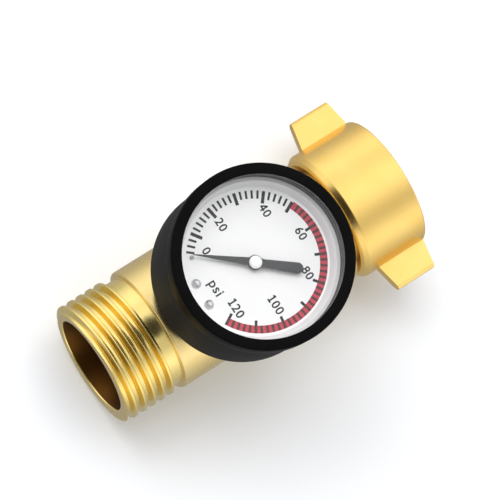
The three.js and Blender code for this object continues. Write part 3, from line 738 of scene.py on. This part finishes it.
# ---------------------------------------------------------------- pointer
def pointer_outline():
    """Tip, hub, round tail and back to the tip, with the arbor at the middle."""
    tip, tail, half, hub = 12.5, 9.7, 1.08, 1.5
    points = [(tip, 0.07), (tip, -0.07)]
    points += [(hub * math.cos(t), -hub * math.sin(t)) for t in (math.radians(d) for d in range(32, 150, 12))]
    points.append((-1.6, -0.78))
    points += [(-tail + half * (1 - math.cos(t)), -half * math.sin(t)) for t in
               (math.pi / 2 - math.pi * k / 16 for k in range(17))]
    points.append((-1.6, 0.78))
    points += [(hub * math.cos(t), hub * math.sin(t)) for t in (math.radians(d) for d in range(148, 20, -12))]
    return points


POINTER_Z, POINTER_T = 32.0, 0.35
bm = bmesh.new()
prism(bm, pointer_outline(), POINTER_Z, POINTER_Z + POINTER_T)
top_edges = [e for e in bm.edges if min(v.co.z for v in e.verts) > POINTER_Z + POINTER_T / 2]
bmesh.ops.bevel(bm, geom=top_edges, offset=0.06, segments=2, profile=0.5, affect="EDGES")
pointer = new_object("pointer_blade", bm)
turn_about(pointer, math.radians(-ZERO), "Z", (GAUGE_X, 0, 0))
dress(to_arbor(with_gauge(pointer)), POINTER_GREY, "pointer_grey", "pointer_unit", "pointer")
cap = to_arbor(turned("pointer_hub_cap", "Z", fillet([
    (32.38, 0.0), (32.38, 1.3, 0.08), (32.8, 1.3, 0.2), (33.0, 0.9, 0.3), (33.02, 0.0),
], 4), 64))
dress(cap, CAP_WHITE, "cap_white", "pointer_unit", "pointer_cap")


# ---------------------------------------------------------------- CAD nodes kept as they are
KEPT = {
    "stem_oring": RUBBER, "port_gasket": RUBBER, "seat_carrier": BRASS_MOVEMENT, "seat_disc": RUBBER,
    "piston": BRASS_BORE_SHADE, "piston_oring": RUBBER, "piston_spring": STEEL, "pointer_arbor": BRASS_MOVEMENT,
    "sector_gear": BRASS_MOVEMENT, "movement_plate_low": BRASS_MOVEMENT, "movement_plate_high": BRASS_MOVEMENT,
    "movement_pillar_0": BRASS_MOVEMENT, "movement_pillar_1": BRASS_MOVEMENT, "hairspring": STEEL,
    "bourdon_tube": BRASS_MOVEMENT, "tube_tip_cap": BRASS_MOVEMENT, "tip_link": STEEL,
}
for node, material in KEPT.items():
    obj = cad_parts[node]
    obj.data.materials.clear()
    obj.data.materials.append(material)


# ---------------------------------------------------------------- stage, light, camera
floor_z = cad_box[0][2] - 0.0002             # just clear of the lowest point
bm = bmesh.new()
bmesh.ops.create_grid(bm, x_segments=2, y_segments=2, size=3.0)
floor_mesh = bpy.data.meshes.new("floor")
bm.to_mesh(floor_mesh)
bm.free()
floor = bpy.data.objects.new("floor", floor_mesh)
floor.location = (0, 0, floor_z)
bpy.context.scene.collection.objects.link(floor)
floor_material = Nodes("floor_pale", Roughness=0.9, Specular_IOR_Level=0.1)
floor_material.set("Base Color", (0.893, 0.908, 0.936, 1.0))
floor.data.materials.append(floor_material.material)
floor.visible_glossy = False


def area_light(name, place, aim, size, power):
    data = bpy.data.lights.new(name, "AREA")
    data.shape = "RECTANGLE"
    data.size, data.size_y = size
    data.energy = power
    lamp = bpy.data.objects.new(name, data)
    bpy.context.scene.collection.objects.link(lamp)
    lamp.location = place
    lamp.rotation_euler = (Vector(aim) - Vector(place)).to_track_quat("-Z", "Y").to_euler()
    return lamp


gauge_axis = Vector((GAUGE_X * MM, 0, 0))
for lamp in (
    area_light("overhead", gauge_axis + Vector((0.10, 0.30, 1.05)), gauge_axis, (0.75, 0.6), 4.4),
    area_light("key", gauge_axis + Vector((-0.16, 0.52, 0.74)), gauge_axis, (0.45, 0.40), 1.6),
):
    lamp.visible_glossy = False              # the brass reflects the surround and not the lamps

# The surround: brightness by the angle round the water axis, from straight up towards the dial's right
# (degrees), set for the light and dark bands on the brass.
SURROUND = [(-180, 0.42), (-130, 0.52), (-112, 0.66), (-96, 1.0), (-80, 1.26), (-66, 1.36), (-46, 1.12),
            (-30, 1.28), (-12, 1.62), (6, 1.66), (20, 1.18), (34, 0.72), (44, 0.68), (56, 0.92), (70, 1.24),
            (82, 1.32), (98, 0.98), (116, 0.68), (140, 0.48), (180, 0.42)]
RAMP_TOP = 2.0                               # the brightness that a full step of the ramp stands for
DARK_PATCH = Vector((-0.45, -0.06, 0.89))    # the surround is darker round this direction
END_LEVEL = 0.95                             # and even towards both ends of the water axis
world = bpy.data.worlds.new("studio")
world.use_nodes = True
sky = world.node_tree
background = sky.nodes["Background"]


def sky_node(kind, inputs, operation=None, out=0):
    node = sky.nodes.new(kind)
    if operation:
        node.operation = operation
    for socket, value in inputs.items():
        if isinstance(value, bpy.types.NodeSocket):
            sky.links.new(value, node.inputs[socket])
        else:
            node.inputs[socket].default_value = value
    return node.outputs[out]


def sky_range(value, from_low, from_high, low, high):
    return sky_node("ShaderNodeMapRange", {"Value": value, "From Min": from_low, "From Max": from_high,
                                           "To Min": low, "To Max": high})


direction = sky_node("ShaderNodeTexCoord", {})
part = sky.nodes.new("ShaderNodeSeparateXYZ")
sky.links.new(direction, part.inputs[0])
turn = sky_node("ShaderNodeMath", {0: part.outputs["Y"], 1: part.outputs["Z"]}, "ARCTAN2")
share = sky_node("ShaderNodeMath", {0: turn, 1: -0.5 / math.pi, 2: 0.5}, "MULTIPLY_ADD")
ramp = sky.nodes.new("ShaderNodeValToRGB")
sky.links.new(share, ramp.inputs[0])
ramp.color_ramp.interpolation = "EASE"
for degrees, value in SURROUND:
    points = ramp.color_ramp.elements
    ends = {-180: 0, 180: len(points) - 1}
    point = points[ends[degrees]] if degrees in ends else points.new(degrees / 360 + 0.5)
    point.color = (*[value / RAMP_TOP] * 3, 1)
nearness = sky_node("ShaderNodeVectorMath", {0: direction, 1: DARK_PATCH}, "DOT_PRODUCT", 1)
dimming = sky_range(nearness, 0.70, 0.90, RAMP_TOP, 0.25)
level = sky_node("ShaderNodeMath", {0: ramp.outputs["Color"], 1: dimming}, "MULTIPLY")
off_middle = sky_node("ShaderNodeMath", {0: part.outputs["X"]}, "ABSOLUTE")
evenness = sky_range(off_middle, 0.76, 0.92, 0.0, 1.0)
strength = sky_node("ShaderNodeMix", {0: evenness, 2: level, 3: END_LEVEL})
sky.links.new(strength, background.inputs["Strength"])
background.inputs["Color"].default_value = (1, 1, 1, 1)
bpy.context.scene.world = world
bpy.context.scene.view_settings.view_transform = "Standard"

CAMERA_PLACE = Vector((-0.18656, -0.00355, 0.69891))        # metres from the gauge axis
CAMERA_TURN = (8.8923, -12.9007, -33.1606)                  # degrees
CAMERA_LENS, CAMERA_SENSOR = 254.83, 36.0                   # mm
camera_data = bpy.data.cameras.new("camera")
camera_data.sensor_width = CAMERA_SENSOR
camera_data.lens = CAMERA_LENS
camera_data.clip_end = 20.0
camera = bpy.data.objects.new("camera", camera_data)
bpy.context.scene.collection.objects.link(camera)
camera.location = gauge_axis + CAMERA_PLACE
camera.rotation_euler = [math.radians(d) for d in CAMERA_TURN]
bpy.context.scene.camera = camera
